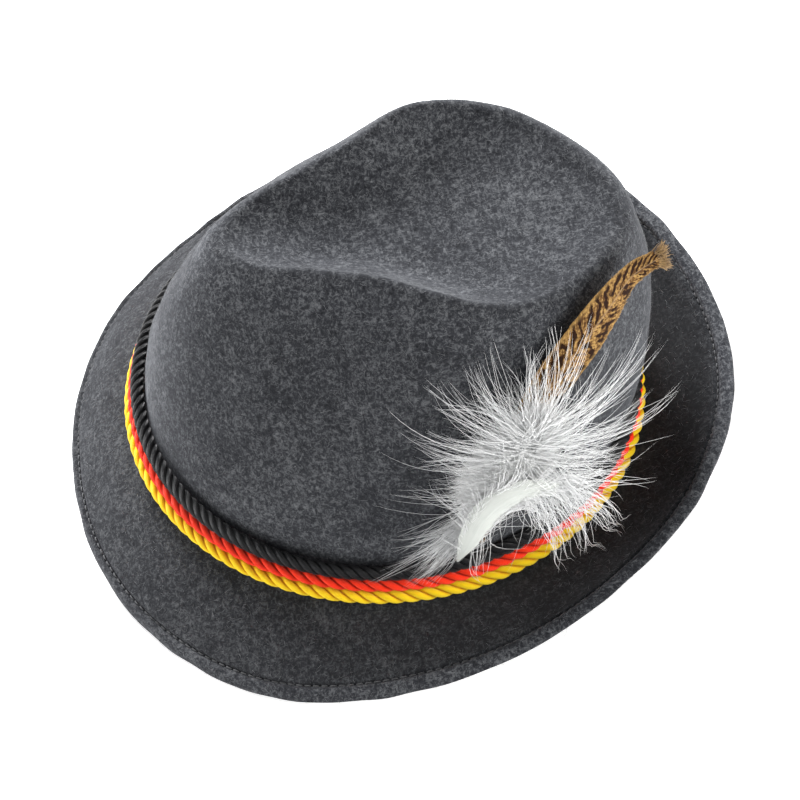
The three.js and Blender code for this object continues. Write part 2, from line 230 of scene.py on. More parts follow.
softLamps = [
    {"name": "mainLamp", "at": (-1.45, -0.45, 1.1), "size": 0.9, "power": 104, "colour": (0.99, 0.99, 1.0)},
    {"name": "frontLamp", "at": (0.3, -1.65, 0.28), "size": 0.8, "power": 24, "colour": (1.0, 0.99, 0.98)},
    {"name": "backLamp", "at": (0.5, 1.6, 0.36), "size": 0.8, "power": 46, "colour": (1.0, 0.99, 0.97)},
    {"name": "sideLamp", "at": (1.45, 0.2, 0.6), "size": 1.2, "power": 8, "colour": (1.0, 1.0, 0.99)},
]


def addLamps():
    for row in softLamps:
        lamp = addObject(row["name"], bpy.data.lights.new(row["name"], "AREA"))
        lamp.location = row["at"]
        toMiddle = Vector((0, 0, studio["aimHeight"])) - Vector(row["at"])
        lamp.rotation_euler = toMiddle.to_track_quat("-Z", "Y").to_euler()
        lamp.data.size = row["size"]
        lamp.data.energy = row["power"]
        lamp.data.color = row["colour"]


def addFloor():
    half = studio["floorSize"] / 2
    mesh = bpy.data.meshes.new("paleFloor")
    signs = ((-1, -1), (1, -1), (1, 1), (-1, 1))
    mesh.from_pydata([(x * half, y * half, -studio["floorDrop"]) for x, y in signs], [], [(0, 1, 2, 3)])
    mesh.materials.append(NodePaper("paleFloor").wear({
        "Base Color": (*studio["floorColour"], 1), "Roughness": 0.9,
        "Emission Color": (1, 1, 1, 1), "Emission Strength": studio["floorGlow"],
    }))
    addObject("paleFloor", mesh)
    world = bpy.data.worlds.new("paleStudio")
    world.use_nodes = True
    sky = world.node_tree.nodes["Background"]
    sky.inputs["Color"].default_value = (1, 1, 1, 1)
    sky.inputs["Strength"].default_value = studio["skyStrength"]
    scene.world = world
    scene.view_settings.view_transform = "Standard"


addCamera()
addLamps()
addFloor()
print("camera, lamps and floor placed")


# The hat's own form, as in the part's source

hatForm = {
    "baseHalfLength": 97.5, "baseHalfWidth": 93.5, "crownHeight": 114.0, "crownLean": 17.0,
    "dishHeight": 98.0, "thickness": 2.4, "brimWidth": 42.0, "bendReach": 4.5, "weltWidth": 6.0,
    "weltRise": 0.8, "wallPlumbTo": 38.0, "waistSpread": 8.0,
}

# one value for each 30 degrees from the front to the back
crownTable = {
    "ridge": (0.78, 0.52, 0.43, 0.5, 0.615, 0.7, 0.79),
    "high": (0.91, 0.97, 1.01, 1.02, 0.965, 0.93, 0.9),
    "bulge": (2.5, 2.0, 1.6, 1.7, 1.95, 2.3, 3.0),
}
brimTable = {
    "width": (0.98, 1.04, 1.05, 0.95, 1.0, 1.0, 1.0),
    "slopeIn": (-25, -22, -19, 0, 12.5, 13, 11),
    "slopeOut": (-52, -50, -37, 0, 36, 39, 30),
}
wallShares = (0, 0.25, 0.5, 0.7, 0.86, 0.96)
dishTable = {
    "reach": (0.955, 0.86, 0.7, 0.5, 0.28, 0),
    "rise": (1, 0.8, 0.45, 0.14, 0.02, 0),
}

cordPlaces = {
    "yellow": {"out": 3.25, "up": 4.45},
    "red": {"out": 1.55, "up": 10.256},
    "black": {"out": 0.55, "up": 16.223},
}
cordRadius = 2.85
waistDepth = 2.65


# The smooth curve through equally spaced values: between two of them it is a cubic, and its
# slope at each is half the step from the one before to the one after.
def smoothThrough(values, share, closed=False):
    values = np.asarray(values, float)
    count = len(values)
    place = share * (count if closed else count - 1)
    low = np.floor(place).astype(int)
    low = low if closed else np.clip(low, 0, count - 2)
    t = place - low
    if closed:
        near = [values[(low + k) % count] for k in (-1, 0, 1, 2)]
    else:
        padded = np.concatenate([[2 * values[0] - values[1]], values, [2 * values[-1] - values[-2]]])
        near = [padded[low + k] for k in (0, 1, 2, 3)]
    t = t.reshape(t.shape + (1,) * (near[0].ndim - t.ndim))
    slopeA, slopeB = (near[2] - near[0]) / 2, (near[3] - near[1]) / 2
    rise = near[2] - near[1]
    square, cube = 3 * rise - 2 * slopeA - slopeB, slopeA + slopeB - 2 * rise
    return near[1] + slopeA * t + square * t ** 2 + cube * t ** 3


def roundTheHat(column, turn):
    whole = list(column) + list(column[1:-1])[::-1]
    return smoothThrough(whole, (turn / (2 * np.pi)) % 1, closed=True)


def easeUp(value, end):
    t = np.clip(value / end, 0, 1)
    return t * t * (3 - 2 * t)


# The crown's wall at each turn: it draws in from the base oval as a power of the height.
# Returns its section as a share of the oval and a height, and both at the ridge.
def wallSection(turn, share):
    ridge = roundTheHat(crownTable["ridge"], turn)
    top = roundTheHat(crownTable["high"], turn) * hatForm["crownHeight"]
    bulge = roundTheHat(crownTable["bulge"], turn)
    return np.stack([1 - (1 - ridge) * share ** bulge, top * share], -1), ridge, top


# The wall, and the top that falls from the ridge into the dish.
def crownSection(turn, step):
    wall, ridge, top = wallSection(turn, np.array(wallShares)[:, None])
    reach = np.array(dishTable["reach"])[:, None]
    rise = np.array(dishTable["rise"])[:, None]
    low = hatForm["dishHeight"]
    dish = np.stack([ridge * reach, low + (top - low) * rise], 2)
    both = np.concatenate([wall, dish])
    return smoothThrough(both, step / (len(both) - 1))


def leanAt(height):
    share = np.minimum(height / hatForm["crownHeight"], 1)
    return hatForm["crownLean"] * share * easeUp(height, hatForm["wallPlumbTo"])


def crownFrom(turn, section):
    x, height = section[..., 0], section[..., 1]
    reach = 1 - (1 - x) * easeUp(height, hatForm["wallPlumbTo"])
    nip = waistDepth * np.exp(-((height - cordPlaces["black"]["up"]) / hatForm["waistSpread"]) ** 2 / 2)
    long = (hatForm["baseHalfLength"] - nip) * reach
    wide = (hatForm["baseHalfWidth"] - nip) * reach
    return np.stack([wide * np.sin(turn), leanAt(height) - long * np.cos(turn), height], -1)


# Out from the base oval along its normal, and up.
def besideBase(turn, out, up):
    a, b = hatForm["baseHalfWidth"], hatForm["baseHalfLength"]
    normal = unit(np.stack([b * np.sin(turn), -a * np.cos(turn)], -1))
    flat = np.stack([a * np.sin(turn), -b * np.cos(turn)], -1) + normal * np.asarray(out)[..., None]
    return np.concatenate([flat, (np.zeros(flat.shape[:-1]) + up)[..., None]], -1)


def brimWidth(turn):
    return roundTheHat(brimTable["width"], turn) * hatForm["brimWidth"]


# The brim's slope changes evenly outwards; its section adds up twelve small steps.
def brimAt(turn, along):
    start = np.radians(roundTheHat(brimTable["slopeIn"], turn))
    end = np.radians(roundTheHat(brimTable["slopeOut"], turn))
    k = (np.arange(12) + 0.5)[:, None, None] / 12
    slope = start + (end - start) * k * (along / brimWidth(turn))
    return besideBase(turn, (np.cos(slope) * along / 12).sum(0), (np.sin(slope) * along / 12).sum(0))


# Places on the crown's wall at angles and heights, moved off the felt along its normal.
def onWall(angle, height, off):
    turn = np.radians(angle)
    low = np.zeros(turn.shape)
    high = np.full(turn.shape, 5.0)

    def at(where, step):
        padded = (-0.25,) + wallShares + (1.03,)
        share = np.clip(np.interp(step, np.arange(-1, 7), padded), 0, 1)
        return crownFrom(where, wallSection(where, share)[0])

    for _ in range(24):
        middle = (low + high) / 2
        below = at(turn, middle)[..., 2] < height
        low = np.where(below, middle, low)
        high = np.where(below, high, middle)
    point = at(turn, low)
    around = at(turn + 0.01, low) - at(turn - 0.01, low)
    upward = at(turn, np.minimum(low + 0.05, 5)) - at(turn, np.maximum(low - 0.05, 0))
    normal = unit(np.cross(around, upward))
    return point + normal * np.asarray(off)[..., None], normal


# Felt body. Its steps run from the dish's middle down to the crown's foot, in rows of the
# dish's and the wall's tables. The shades are painted light and shade: how much lighter or
# darker the felt is painted than on the wall.
feltLook = {
    "turnSteps": 420, "crownRings": 92, "brimRings": 22, "firstStep": 10.9, "stepSpan": 10.66,
    "bendShares": (0.15, 0.3, 0.45, 0.6, 0.75, 0.9), "grooveDepth": 0.9, "grooveHalfWidth": 0.85,
    "edgeWobble": 0.35, "edgeWaves": (5, 9, 14, 21, 29, 38, 47), "softWaves": 0.28, "waveCount": 26,
    "waveLength": (14, 60), "darkest": (0.003, 0.0033, 0.0046), "ground": (0.0172, 0.0182, 0.0215),
    "fibre": (0.1, 0.104, 0.11), "fibreScale": 1250.0, "fibreSway": 0.0018,
    "fibreWays": (((0.3, 0.2, 0.4), (1, 0.28, 1)), ((1.2, -0.5, 1.9), (0.28, 1, 1)),
                  ((-0.7, 0.9, 0.8), (1, 1, 0.28))),
    "fibreShare": 0.74, "mottleShare": 0.44, "cloudShare": 0.14, "patchShare": 0.19, "dishPaintedLight": 1.16,
    "ridgePaintedLight": 0.2, "ridgeStep": 4.75, "ridgeSpread": 0.65, "dishStep": 6.2, "dishEase": 1.6,
    "brimEase": 0.6, "brimPaintedShade": 0.73, "backBrimPaintedShade": 0.21, "frontBandPaintedShade": 0.95, "backBandPaintedLight": 1.3,
    "nearBandPaintedLight": 0.35, "seed": 11,
}


def feltPaint():
    look = feltLook
    p = NodePaper("meltonFelt")
    place = p.place()
    scale = look["fibreScale"]
    # fibres: noise drawn out along three directions and bent by a coarser noise
    bend = p.noise(place, scale * 0.35, 1.0, output="Color")
    shift = p.add("ShaderNodeVectorMath", {0: bend, 1: (0.5, 0.5, 0.5)}, operation="SUBTRACT")
    sway = (look["fibreSway"],) * 3
    bent = p.add("ShaderNodeVectorMath", {0: shift, 1: sway, 2: place}, operation="MULTIPLY_ADD")
    most = 0.0
    for turn, stretch in look["fibreWays"]:
        spun = p.add("ShaderNodeMapping", {"Vector": bent, "Rotation": turn, "Scale": stretch})
        most = p.calc("MAXIMUM", most, p.noise(spun, scale, 2.0, 0.6))
    mottle = p.noise(place, scale * 0.4, 3.0, 0.7)
    wool = p.timesPlus(mottle, look["mottleShare"], p.times(most, look["fibreShare"]))
    wool = p.timesPlus(p.minus(p.noise(place, 26.0, 2.0), 0.5), look["cloudShare"], wool)
    wool = p.timesPlus(p.minus(p.noise(place, 150.0, 3.0, 0.6), 0.5), look["patchShare"], wool)
    colour = p.ramp(wool, ((0.47, look["darkest"]), (0.625, look["ground"]), (0.835, look["fibre"])))
    # painted light and shade by the shade attribute: the brim is painted darker than the crown,
    # the dish and the wall under the ridge lighter, and the band a painted highlight at the back
    shaded = p.add("ShaderNodeVectorMath", {0: colour, "Scale": p.value("shade")}, operation="SCALE")
    return p.wear({
        "Base Color": shaded, "Roughness": 0.96, "Specular IOR Level": 0.15,
        "Sheen Weight": 0.08, "Sheen Roughness": 0.6, "Sheen Tint": (0.75, 0.78, 0.85, 1),
        "Normal": p.bump(wool, 0.6, 0.0004),
    })


# The distance round the brim's outer band at which the felt is raised or let in, as
# pairs of a distance from the band's inner line and a lift.
def weltProfile():
    deep, half = feltLook["grooveDepth"], feltLook["grooveHalfWidth"]
    rise, wide = hatForm["weltRise"], hatForm["weltWidth"]
    return (
        (-2.0, 0.0), (-1.2, 0.02), (-half, -deep * 0.35), (-half * 0.35, -deep), (half * 0.2, -deep * 0.9),
        (half * 0.9, rise * 0.45), (1.3, rise * 0.9), (2.1, rise), (3.0, rise * 0.7), (3.9, rise * 0.1),
        (4.7, -0.45), (wide - 0.55, -0.95), (wide - 0.12, -1.45),
    )


def gridNormals(grid):
    around = np.roll(grid, -1, 1) - np.roll(grid, 1, 1)
    down = np.gradient(grid, axis=0)
    return unit(np.cross(down, around))


def addFelt():
    look = feltLook
    rng = np.random.default_rng(look["seed"])
    turn = np.linspace(0, 2 * np.pi, look["turnSteps"], endpoint=False)
    t = np.linspace(0, 1, look["crownRings"])
    steps = look["firstStep"] - look["stepSpan"] * (t + 0.05 * np.sin(2 * np.pi * t) / np.pi)
    crown = crownFrom(turn, crownSection(turn, steps))
    foot = crown[-1]
    corner = besideBase(turn, 0.0, 0.0)
    along = hatForm["bendReach"]
    leave = brimAt(turn, along)[0]
    s = np.array(look["bendShares"])[:, None, None]
    bend = foot * (1 - s) ** 2 + 2 * corner * s * (1 - s) + leave * s ** 2
    wobble = sum(
        rng.uniform(0.3, 1) * np.sin(k * turn + rng.uniform(0, 2 * np.pi)) for k in look["edgeWaves"]
    ) * look["edgeWobble"] / 3
    inner = brimWidth(turn) - hatForm["weltWidth"]
    share = np.linspace(0, 1, look["brimRings"])[:, None]
    brim = brimAt(turn, along + (inner - 2.6 - along) * share)
    profile = np.array(weltProfile())
    band = brimAt(turn, inner + profile[:, :1] + wobble * easeUp(profile[:, :1] + 2, 8))
    upper = np.concatenate([crown, bend, brim, band])
    lift = np.concatenate([np.zeros(len(upper) - len(profile)), profile[:, 1]])
    normal = gridNormals(upper)
    # soft unevenness from handling, over the whole hat
    waves = np.zeros(upper.shape[:2])
    for _ in range(look["waveCount"]):
        way = unit(rng.normal(size=3))
        waves += np.sin(upper @ (way * 2 * np.pi / rng.uniform(*look["waveLength"])) + rng.uniform(0, 6.28))
    waves *= look["softWaves"] / 5
    thick = hatForm["thickness"]
    top = upper + normal * (lift[:, None, None] + waves[..., None])
    under = upper + normal * (waves[..., None] - thick)
    # the underside has a shallower groove, and its edge is rounded off
    dip = np.concatenate([np.zeros(len(upper) - len(profile)), np.clip(-profile[:, 1], 0, 1) * 0.5])
    dip[-1] = 0.7
    dip[-2] = 0.2
    under = under + normal * dip[:, None, None]
    keep = np.unique(np.r_[0:len(crown):2, len(crown) - 1:len(upper)])
    top, under = toRest(top), toRest(under)
    rise = np.maximum(0, -under[..., 2])
    under[..., 2] += rise
    top[..., 2] += rise
    edge = (top[-1] + under[-1]) / 2 + (top[-1] - top[-3]) * 0.3
    edge[:, 2] = np.maximum(edge[:, 2], (top[-1, :, 2] + under[-1, :, 2]) / 2 - 0.15)
    surface = np.concatenate([top, edge[None]])
    dish = np.array([0, leanAt(hatForm["dishHeight"]), hatForm["dishHeight"]])
    centre = toRest(np.array([dish, dish - (0, 0, thick)]))
    grid = np.concatenate([top, edge[None], under[keep][::-1]])
    # painted light and shade: 1 on the crown's wall, painted lighter in the dish and under
    # the ridge, painted darker on the brim, and the band painted lighter towards the back
    row = np.arange(len(upper))[:, None]
    onBrim = np.clip((row - len(crown)) / 8, 0, 1)
    onBand = np.clip((row - len(upper) + len(profile) - 4) / 2, 0, 1)
    front = (1 + np.cos(turn))[None] / 2
    # painted shade on the brim, darkest at its back where the crown shades it
    paintedBrimShade = look["backBrimPaintedShade"] + (look["brimPaintedShade"] - look["backBrimPaintedShade"]) * front ** look["brimEase"]
    inDish = np.clip((steps - look["dishStep"]) / look["dishEase"], 0, 1)
    inDish = np.append(inDish, np.zeros(len(upper) - len(crown)))[:, None]
    shade = 1 + (look["dishPaintedLight"] - 1) * inDish + (paintedBrimShade - 1) * onBrim
    # painted light on the wall just under the ridge
    onRidge = np.exp(-((steps - look["ridgeStep"]) / look["ridgeSpread"]) ** 2)
    shade[:len(crown)] += (look["ridgePaintedLight"] * onRidge)[:, None]
    # painted highlight on the band and the brim just inside it towards the back, where the side light
    # catches the rolled edge; at the front the band is a little darker than the wall
    paintedBandLight = look["backBandPaintedLight"] + (look["frontBandPaintedShade"] - look["backBandPaintedLight"]) * front
    nearBand = np.clip((row - len(upper) + len(profile) + 4) / 5, 0, 1) * (1 - front)
    shade = shade + (paintedBandLight - shade) * np.maximum(onBand, nearBand * look["nearBandPaintedLight"])
    shade = np.concatenate([shade, shade[-1:], shade[keep][::-1]])
    shade = np.append(shade.ravel(), [1, 1])
    return closedSkin("feltBody", grid, feltPaint(), ends=centre, attributes={"shade": shade}), surface


# Twisted cords: strands wound round each ring, which is as thick as the part's own.
cordTwist = {"twists": 35, "stepsEach": 20, "sides": 12, "threads": 16, "askew": 90.0}
cordLook = {
    "black": {"strands": 4, "deep": 0.42, "wide": 0.41, "phase": 0.3, "shine": 0.3, "fuzz": 0.0,
              "crest": (0.005, 0.005, 0.006), "gapPaintedShade": (0.001, 0.001, 0.0015), "sheen": (0.5, 0.5, 0.55)},
    "red": {"strands": 3, "deep": 0.46, "wide": 0.48, "phase": 0.1, "shine": 0.2, "fuzz": 0.1,
            "crest": (0.86, 0.028, 0.006), "gapPaintedShade": (0.34, 0.004, 0.002), "sheen": (1.0, 0.3, 0.15)},
    "yellow": {"strands": 3, "deep": 0.46, "wide": 0.49, "phase": 0.0, "shine": 0.2, "fuzz": 0.1,
               "crest": (0.93, 0.62, 0.008), "gapPaintedShade": (0.72, 0.2, 0.002), "sheen": (1.0, 0.85, 0.3)},
}


def cordPaint(colour):
    look = cordLook[colour]
    p = NodePaper(colour + "Satin")
    place = p.add("ShaderNodeUVMap", uv_map="surfaceMap")
    spread = p.add("ShaderNodeSeparateXYZ", {"Vector": place}).node.outputs
    # threads lie a little askew in each strand
    askew = p.timesPlus(spread["Y"], cordTwist["askew"], spread["X"])
    thread = p.calc("SINE", p.times(askew, 2 * math.pi * cordTwist["threads"]))
    # painted shade: each strand is painted darker towards the cord's middle, in the gaps between strands
    mixed = p.ramp(p.value("crest"), ((0.35, look["gapPaintedShade"]), (0.8, look["crest"])), "EASE")
    bright = tuple(min(1.0, c * 1.2 + 0.006) for c in look["crest"])
    streak = p.times(p.timesPlus(thread, 0.25, p.noise(p.place(), 900.0, 2.0)), 0.6)
    return p.wear({
        "Base Color": p.blend(streak, mixed, (*bright, 1)), "Roughness": 0.38,
        "Specular IOR Level": look["shine"], "Sheen Weight": look["fuzz"],
        "Sheen Tint": (*look["sheen"], 1), "Normal": p.bump(thread, 0.8, 0.00016),
    })


# Each strand's middle goes round the cord's own line as a helix, and its section is an
# oval that faces the cord's middle.
def addCord(colour):
    look, place = cordLook[colour], cordPlaces[colour]
    radius, sides, twists = cordRadius, cordTwist["sides"], cordTwist["twists"]
    steps = twists * cordTwist["stepsEach"]
    fine = np.linspace(0, 2 * np.pi, 4001)
    line = besideBase(fine, place["out"], 0.0)
    run = np.concatenate([[0], np.cumsum(np.linalg.norm(np.diff(line, axis=0), axis=1))])
    share = np.arange(steps) / steps
    turn = np.interp(share * run[-1], run, fine)
    middle = besideBase(turn, place["out"], place["up"])
    middle[:, 1] += leanAt(np.array(place["up"]))
    outward = besideBase(turn, 1.0, 0.0) - besideBase(turn, 0.0, 0.0)
    deep, wide = look["deep"] * radius, look["wide"] * radius
    a = 2 * np.pi * np.arange(sides) / sides
    grids = []
    for strand in range(look["strands"]):
        angle = 2 * np.pi * (strand / look["strands"] + look["phase"] - twists * share)
        facing = outward * np.cos(angle)[:, None] + np.array([0, 0, 1]) * np.sin(angle)[:, None]
        centre = middle + facing * (radius - deep)
        tangent = unit(np.roll(centre, -1, 0) - np.roll(centre, 1, 0))
        aside = unit(np.cross(tangent, facing))
        ring = centre[:, None] + facing[:, None] * (deep * np.cos(a))[None, :, None]
        grids.append(ring + aside[:, None] * (wide * np.sin(a))[None, :, None])
    points = np.concatenate([toRest(g).reshape(-1, 3) for g in grids])
    parts = [gridFaces(steps, sides, True, k * steps * sides) for k in range(look["strands"])]
    quads, quadMap = (np.concatenate(both) for both in zip(*parts))
    none, noMap = np.zeros((0, 3), int), np.zeros((0, 3, 2))
    # crest is 1 on each strand's outer side and 0 towards the cord's middle, where the painted shade goes
    crests = np.tile((1 + np.cos(a)) / 2, steps * look["strands"])
    faces, maps = (quads, none), (quadMap, noMap)
    return makePiece(colour + "Cord", points, faces, maps, cordPaint(colour), {"crest": crests})


# Thin strands: K middle lines of S points, each with a few sides and drawn out to a point.
def strandPiece(name, lines, radius, taper, paint, shade=None, sides=3):
    count, stations = lines.shape[:2]
    tangent = np.gradient(lines, axis=1)
    tangent /= np.linalg.norm(tangent, axis=2, keepdims=True) + 1e-9
    aside = np.cross(tangent, np.array([0.3, 0.2, 1.0]))
    aside /= np.linalg.norm(aside, axis=2, keepdims=True) + 1e-9
    other = np.cross(tangent, aside)
    share = np.linspace(0, 1, stations)
    size = radius[:, None] * (1 - taper * share[None, :] ** 1.3)
    a = 2 * np.pi * np.arange(sides) / sides
    ring = lines[:, :-1, None] + (size[:, :-1, None] * np.cos(a))[..., None] * aside[:, :-1, None]
    ring = ring + (size[:, :-1, None] * np.sin(a))[..., None] * other[:, :-1, None]
    rings = stations - 1
    each = rings * sides + 1
    points = np.concatenate([ring.reshape(count, rings * sides, 3), lines[:, -1:]], 1).reshape(-1, 3)
    quad = gridFaces(rings, sides, False)[0]
    k = np.arange(sides)
    last = (rings - 1) * sides
    tip = np.stack([last + k, last + (k + 1) % sides, np.full(sides, rings * sides)], 1)
    k = np.arange(sides - 2)
    tri = np.concatenate([tip, np.stack([k * 0, k + 2, k + 1], 1)])
    start = (np.arange(count) * each)[:, None, None]
    faces = (quad[None] + start).reshape(-1, 4), (tri[None] + start).reshape(-1, 3)
    along = np.tile(np.concatenate([np.repeat(share[:-1], sides), [1]]), count)
    maps = [np.stack([np.zeros(part.shape), along[part]], 2) for part in faces]
    places = {"tone": np.repeat(np.zeros(count) if shade is None else shade, each), "run": along}
    return makePiece(name, points, faces, maps, paint, places)


# Stitches lie end to end in the groove inside the brim's band: each a flat half sine.
stitchLook = {
    "count": 250, "share": 0.74, "radius": 0.3, "sunk": 0.62, "rise": 0.3,
    "colour": (0.022, 0.023, 0.026), "light": (0.075, 0.077, 0.082),
}


def stitchPaint():
    p = NodePaper("greyThread")
    twist = p.noise(p.place(), 2600.0, 2.0)
    return p.wear({
        "Base Color": p.ramp(twist, ((0.35, stitchLook["colour"]), (0.7, stitchLook["light"]))),
        "Roughness": 0.6, "Sheen Weight": 0.1, "Normal": p.bump(twist, 0.5, 0.0002),
    })


def addStitches():
    look = stitchLook
    s = np.linspace(0, 1, 7)
    turn = (np.arange(look["count"])[:, None] + s[None] * look["share"]) * 2 * np.pi / look["count"]
    flat = turn.ravel()
    inner = brimWidth(flat) - hatForm["weltWidth"]
    middle = brimAt(flat, inner)[0]
    outer = brimAt(flat, inner + 0.5)[0] - middle
    around = brimAt(flat + 0.003, inner)[0] - middle
    normal = np.cross(outer, around)
    normal = unit(normal * np.sign(normal[:, 2:3]))
    lift = np.tile(look["rise"] * np.sin(np.pi * s), look["count"]) - look["sunk"]
    lines = (middle + normal * lift[:, None]).reshape(look["count"], len(s), 3)
    radius = np.full(look["count"], look["radius"])
    under = toRest(middle - normal * hatForm["thickness"])[:, 2].reshape(lines.shape[:2])
    lines = toRest(lines)
    lines[..., 2] += np.maximum(0, -under)
    return strandPiece("brimStitches", lines, radius, 0.25, stitchPaint(), sides=6)


# Loose wool hairs: each starts on the felt's outside, lies along it in some direction
# and lifts off as the square of the way. None starts near the cords.
hairLook = {
    "count": 18200, "length": (1.2, 3.6), "radius": 0.046, "lift": (0.1, 0.9), "cordMiddle": 10,
    "cordSpread": 12, "cordReach": 108, "seed": 77, "dark": (0.02, 0.021, 0.025),
    "pale": (0.175, 0.18, 0.19),
}


def hairPaint():
    p = NodePaper("woolHairs")
    colour = p.ramp(p.value("tone"), ((0.25, hairLook["dark"]), (0.95, hairLook["pale"])))
    return p.wear({"Base Color": colour, "Roughness": 0.8, "Sheen Weight": 0.1})


def addHairs(surface):
    look = hairLook
    rng = np.random.default_rng(look["seed"])
    normal = gridNormals(surface)
    step = np.linalg.norm(np.diff(surface, axis=0), axis=2)
    ring = np.linalg.norm(np.roll(surface, -1, 1) - surface, axis=2)[:-1]
    odds = (step * ring).ravel()
    count = look["count"]
    pick = rng.choice(len(odds), count, p=odds / odds.sum())
    r, c = np.divmod(pick, surface.shape[1])
    share = rng.uniform(0, 1, (count, 1))
    root = surface[r, c] * (1 - share) + surface[r + 1, c] * share
    up = normal[r, c]
    way = rng.normal(size=(count, 3))
    way = unit(way - up * (way * up).sum(1, keepdims=True))
    turned = np.cross(up, way)
    length = rng.uniform(*look["length"], (count, 1))
    lift = rng.uniform(*look["lift"], (count, 1)) ** 1.6
    curl = rng.normal(size=(count, 1)) * 0.3
    s = np.linspace(0, 1, 3)[None, :, None]
    lines = root[:, None] + way[:, None] * length[:, None] * s
    lines = lines + (up * lift)[:, None] * s ** 2 + (turned * curl * length)[:, None] * s ** 2
    lines = lines - (up * 0.03)[:, None]
    lines[..., 2] = np.maximum(lines[..., 2], 0.1)
    worn = (root - np.array(hatPose["shift"])) @ restMatrix()
    offCords = np.abs(worn[:, 2] - look["cordMiddle"]) > look["cordSpread"]
    clear = offCords | (np.hypot(worn[:, 0], worn[:, 1]) > look["cordReach"])
    radius = look["radius"] * rng.uniform(0.7, 1.3, count)
    tone = rng.uniform(0, 1, count)
    return strandPiece("woolHairs", lines[clear], radius[clear], 0.7, hairPaint(), tone[clear])


# The plume. Its bundles of strands go clockwise: the angle, height and distance off the felt
# where they start and where their tips lie, and their share of the strands.
bundles = (
    (101.5, 43, 5.5, 83.8, 27.5, 7.5, 1.0), (101, 41, 5.5, 85.1, 19.9, 8.5, 1.0),
    (100.5, 40, 5.5, 90.2, 17, 9, 0.8), (100.5, 38, 5.5, 92.1, 19, 9, 0.6),
    (103.5, 51, 7, 83.8, 55.4, 7, 0.6), (106, 57, 9, 91.7, 61.1, 7, 0.8),
    (108, 62, 9, 88.5, 66.7, 7, 0.8), (109, 65, 9, 83.6, 71.7, 8, 0.9),
    (110.5, 69, 10, 83.9, 79.9, 8, 0.9), (111, 70, 10, 87.7, 89.5, 8, 0.8),
    (112, 72, 10, 96.6, 92, 7, 0.7), (112.5, 73, 10, 97.5, 101, 7, 0.3),
    (113, 73, 10, 104.8, 98.4, 7, 0.45), (113, 74, 10, 109, 105, 7, 0.25),
    (113.5, 74, 10, 112.5, 104.1, 7, 0.4), (114, 75, 10, 118.2, 105.3, 7, 0.45),
    (114.5, 75, 10, 123.2, 107.5, 8, 0.35), (115, 75, 10, 127.4, 101.9, 9, 0.55),
    (116, 74, 10, 135.2, 98.8, 11, 0.4), (116.5, 73, 11, 141.5, 89.9, 13, 0.35),
    (117, 72, 11, 145.3, 81.8, 15, 0.25), (117, 70.5, 11, 143.3, 75.7, 16, 0.25),
    (117, 69, 11, 147, 65.9, 18, 0.25), (117, 68, 11, 147.7, 59.7, 19, 0.25),
    (117, 67, 11, 145.2, 57.4, 20, 0.35), (117.5, 64, 12, 146.9, 39.9, 21, 0.4),
    (118, 57, 15, 139.5, 35.8, 21, 0.5), (118.5, 55, 15.5, 142.5, 28.1, 22, 0.55),
    (119, 53, 16, 140.5, 10, 22, 0.4), (119, 52, 16, 135.7, 5, 22, 0.4), (118, 52, 16, 136.3, 3, 24, 0.3),
    (117, 52, 16, 130.5, 3, 24, 0.5), (115, 53, 15.5, 126, 3, 23, 0.5), (113, 53, 15, 120.3, 3, 21, 0.45),
    (111, 53, 14.5, 117.7, 3, 20, 0.4), (106, 49, 11, 110.9, 4, 17, 0.3),
    (101.5, 40, 8, 101.3, 6, 14, 0.15),
)

fluffLook = {
    "clumps": 4, "perClump": 4, "middling": 760, "short": 11400, "stray": 70, "stations": 10,
    "longRadius": 0.125, "middlingRadius": 0.12, "shortRadius": 0.105, "taper": 0.8, "arch": 3.0,
    "wander": 2.2, "tipSpread": (2.2, 3.0, 1.5), "rootSpread": (1.6, 2.6, 0.8),
    "tipLoose": (0.7, 1.1, 0.6), "overFelt": 1.2, "overCords": 8.0, "cordTop": 25, "overFeather": 6.2,
    "featherRise": (50, 64), "seed": 23, "white": (0.74, 0.75, 0.755), "shadow": (0.6, 0.61, 0.62),
    "soft": (0.93, 0.94, 0.935), "tips": (0.8, 0.815, 0.825, 1),
}

# The plume's soft middle: its place as an angle and a height, and how both change along
# the heart and across it.
heartShape = {
    "middle": (109.7, 59.0), "along": (5.5, 12.0), "across": (6.4, -5.0), "rise": 9.0, "foot": 1.4,
    "lumps": 0.7,
}


def downPaint(name, white, shadow):
    p = NodePaper(name)
    light = p.timesPlus(p.value("tone"), 0.5, p.times(p.noise(p.place(), 120.0, 2.0), 0.5))
    colour = p.ramp(light, ((0.1, shadow), (0.6, white)))
    return p.wear({
        "Base Color": p.blend(p.times(p.value("run"), 0.2), colour, fluffLook["tips"]),
        "Roughness": 0.7, "Specular IOR Level": 0.3, "Sheen Weight": 0.5, "Sheen Roughness": 0.4,
        "Subsurface Weight": 0.6, "Subsurface Scale": 0.003, "Subsurface Radius": (1.0, 1.0, 1.0),
    })


# Keeps strands clear of the felt, the cords, the feather and the dished top.
def overTheHat(angle, height, off):
    height = np.clip(height, 1.5, 110)
    look = fluffLook
    least = np.where(height < look["cordTop"], look["overCords"], look["overFelt"])
    least = np.maximum(least, np.interp(height, look["featherRise"], (0, look["overFeather"])))
    return onWall(angle, height, np.maximum(off, least))[0]


